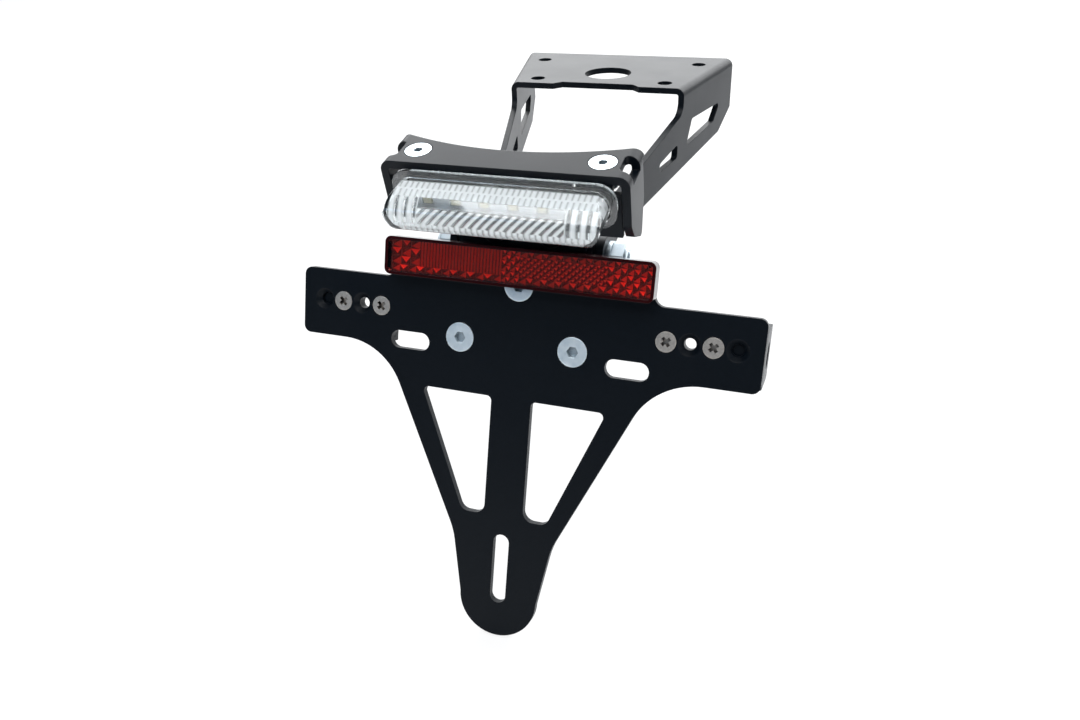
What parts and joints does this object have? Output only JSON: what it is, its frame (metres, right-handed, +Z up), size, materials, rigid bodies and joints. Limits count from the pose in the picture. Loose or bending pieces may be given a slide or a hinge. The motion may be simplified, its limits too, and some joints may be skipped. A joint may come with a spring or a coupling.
{
  "type": "tail tidy",
  "caption": "Folded black steel number plate holder for a motorbike tail, with a hooded plate lamp, red reflector, indicator angles and a slotted plate carrier.",
  "frame": {"origin": "midway between the front pair of tail holes, on the top face of the tail bracket", "axes": "+X to the right seen from behind the bike, +Y forward along the bike, +Z up, square to the bracket's top plate"},
  "size_m": [0.182, 0.2156, 0.1861],
  "materials": {
    "black_coat": "satin powder coat",
    "zinc_steel": "bright zinc plate",
    "black_steel": "black oxide",
    "stainless": "plain stainless",
    "clear_lens": "clear moulded",
    "red_lens": "gloss",
    "black_plastic": "moulded",
    "bright_tray": "vacuum metallised",
    "white_board": "matte",
    "led_chip": "gloss",
    "black_rubber": "matte",
    "foam_tape": "matte"
  },
  "bodies": {
    "root": {"tail_bracket": "black_coat", "carrier_plate": "black_coat", "carrier_bracket": "black_coat", "lamp_hood": "black_coat", "lamp_bracket": "black_coat", "indicator_bracket_left": "black_coat", "indicator_bracket_right": "black_coat", "lamp_lens": "clear_lens", "lamp_gasket": "black_rubber", "cable_grommet": "black_rubber", "lamp_base": "black_plastic", "lamp_tray": "bright_tray", "led_board": "white_board", "leds": "led_chip", "reflector_pad": "foam_tape", "reflector_base": "black_plastic", "reflector_lens": "red_lens", "flange_screws": "black_steel", "indicator_screws": "stainless", "indicator_washers": "stainless", "indicator_nuts": "stainless", "carrier_bolts": "zinc_steel", "carrier_washers": "zinc_steel", "carrier_nuts": "zinc_steel", "hood_screws": "zinc_steel", "hood_nuts": "zinc_steel", "lamp_studs": "zinc_steel", "lamp_washers": "zinc_steel", "lamp_nuts": "zinc_steel", "flange_washers": "zinc_steel", "flange_nuts": "zinc_steel", "clamp_bolts": "zinc_steel", "clamp_washers": "zinc_steel", "clamp_nuts": "zinc_steel"}
  },
  "joints": []
}
